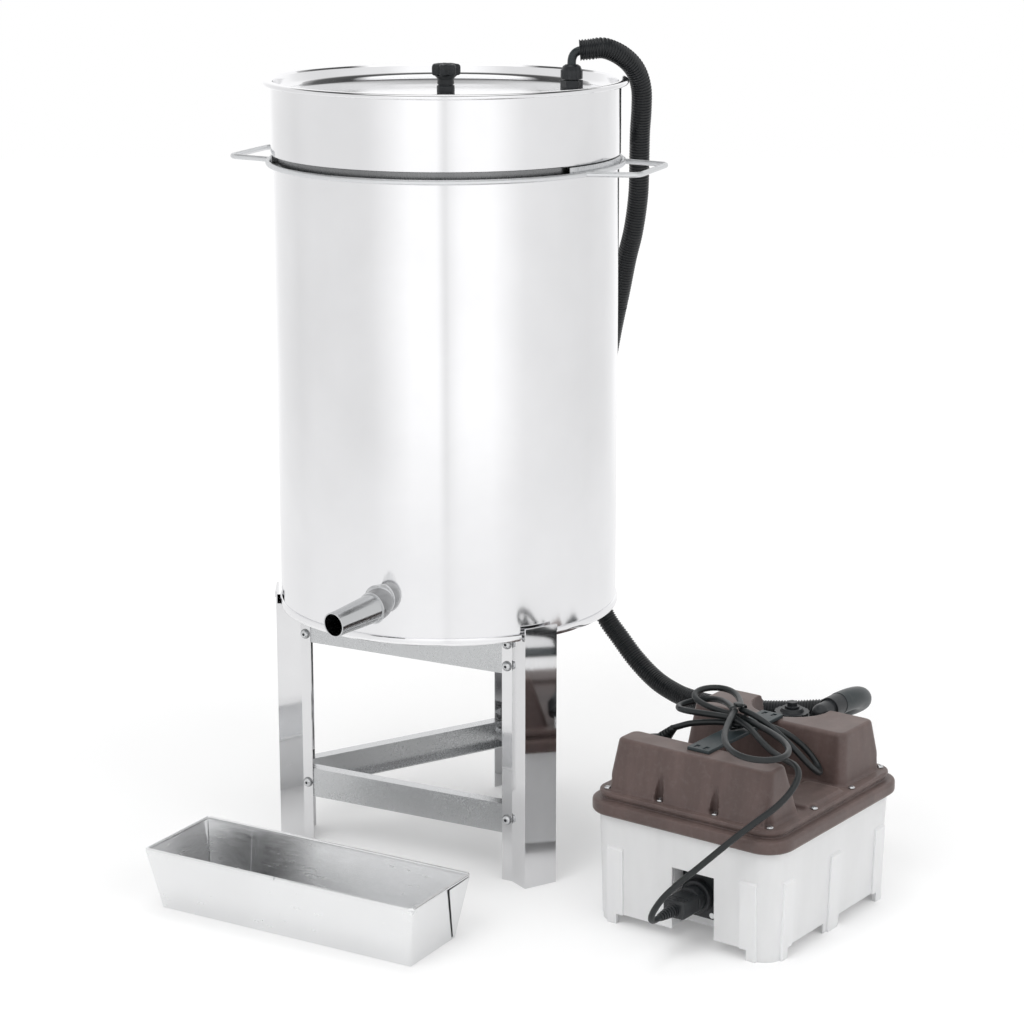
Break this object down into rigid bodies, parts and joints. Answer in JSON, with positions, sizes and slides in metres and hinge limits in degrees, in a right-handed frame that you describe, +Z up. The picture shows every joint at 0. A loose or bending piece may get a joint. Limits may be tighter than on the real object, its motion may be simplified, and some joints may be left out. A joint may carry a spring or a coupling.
{
  "type": "steam wax melter",
  "caption": "Stainless drum on a three-legged folded stand with a lift-out basket, lid and drain spout, a steam generator with a ribbed conduit and mains lead, and a loose mould tin",
  "frame": {"origin": "On the floor, below the centre of the whole set without its hoses and mains lead", "axes": "+Z up, -Y towards the viewer of the picture, +X to the right; the steam generator stands at the front right and the mould tin at the front left"},
  "size_m": [0.8432, 0.6281, 0.9474],
  "materials": {
    "sheet_steel": "bright cold-rolled stainless sheet, lightly streaked",
    "drum_steel": "bright stainless sheet with soft vertical reflections",
    "pipe_steel": "satin stainless pipe",
    "basket_steel": "satin stainless wire and sheet",
    "fastener_steel": "bright plated steel",
    "tinplate": "bright tinplate, slightly uneven",
    "knob_plastic": "moulded black phenolic, semi-gloss",
    "gland_plastic": "moulded black polyamide",
    "conduit_plastic": "ribbed black conduit, soft sheen",
    "hose_rubber": "smooth dark grey rubber",
    "lead_rubber": "smooth black rubber",
    "generator_black": "moulded black plastic",
    "cover_plastic": "moulded dark brown plastic, fine sheen",
    "tank_plastic": "milky white translucent moulding"
  },
  "bodies": {
    "stand": {"leg_left": "sheet_steel", "leg_front": "sheet_steel", "leg_back": "sheet_steel", "upper_braces": "sheet_steel", "lower_braces": "sheet_steel", "brace_bolts": "fastener_steel", "brace_washers": "fastener_steel", "brace_nuts": "fastener_steel", "drum_shell": "drum_steel", "drum_floor": "drum_steel", "outlet_stub": "pipe_steel", "outlet_elbow": "pipe_steel", "outlet_spout": "pipe_steel", "steam_conduit": "conduit_plastic", "outlet_elbow_hose": "hose_rubber", "outlet_connector": "generator_black", "water_tank": "tank_plastic", "tank_gasket": "hose_rubber", "tank_cover": "cover_plastic", "cover_screws": "fastener_steel", "strap_handle": "generator_black", "strap_screws": "generator_black", "filler_neck": "generator_black", "heating_element": "fastener_steel", "inlet_housing": "generator_black", "inlet_screws": "fastener_steel", "lead_connector": "lead_rubber", "connector_relief": "lead_rubber", "mains_lead": "lead_rubber", "lead_tie": "generator_black", "plug_boot": "lead_rubber", "plug_body": "lead_rubber", "plug_pins": "fastener_steel"},
    "basket": {"basket_rim": "basket_steel", "basket_shell": "basket_steel", "basket_floor": "basket_steel", "handle_right": "basket_steel", "handle_left": "basket_steel", "handle_plates": "basket_steel"},
    "lid": {"lid_skirt": "drum_steel", "lid_panel": "drum_steel", "knob_head": "knob_plastic", "knob_stem": "knob_plastic", "knob_screw": "fastener_steel", "gland_body": "gland_plastic", "gland_nut": "gland_plastic", "gland_gasket": "hose_rubber", "gland_locknut": "gland_plastic", "steam_tube": "hose_rubber"},
    "cap": {"filler_cap": "generator_black", "cap_valve": "generator_black"},
    "tin": {"tin_body": "tinplate", "tin_rim": "tinplate"}
  },
  "joints": [
    {"name": "basket_lift", "type": "slide", "parent": "stand", "child": "basket", "axis": [0, 0, 1], "range_m": [0, 0.45], "deforming": ["steam_conduit"]},
    {"name": "lid_lift", "type": "slide", "parent": "basket", "child": "lid", "axis": [0, 0, 1], "range_m": [0, 0.15], "deforming": ["steam_conduit"]},
    {"name": "cap_turn", "type": "hinge", "parent": "stand", "child": "cap", "pos_m": [0.3095, -0.0366, 0.195], "axis": [0, 0, 1], "range_deg": [0, 540]},
    {"name": "tin_lift", "type": "slide", "parent": "stand", "child": "tin", "axis": [0, 0, 1], "range_m": [0, 0.2]}
  ]
}
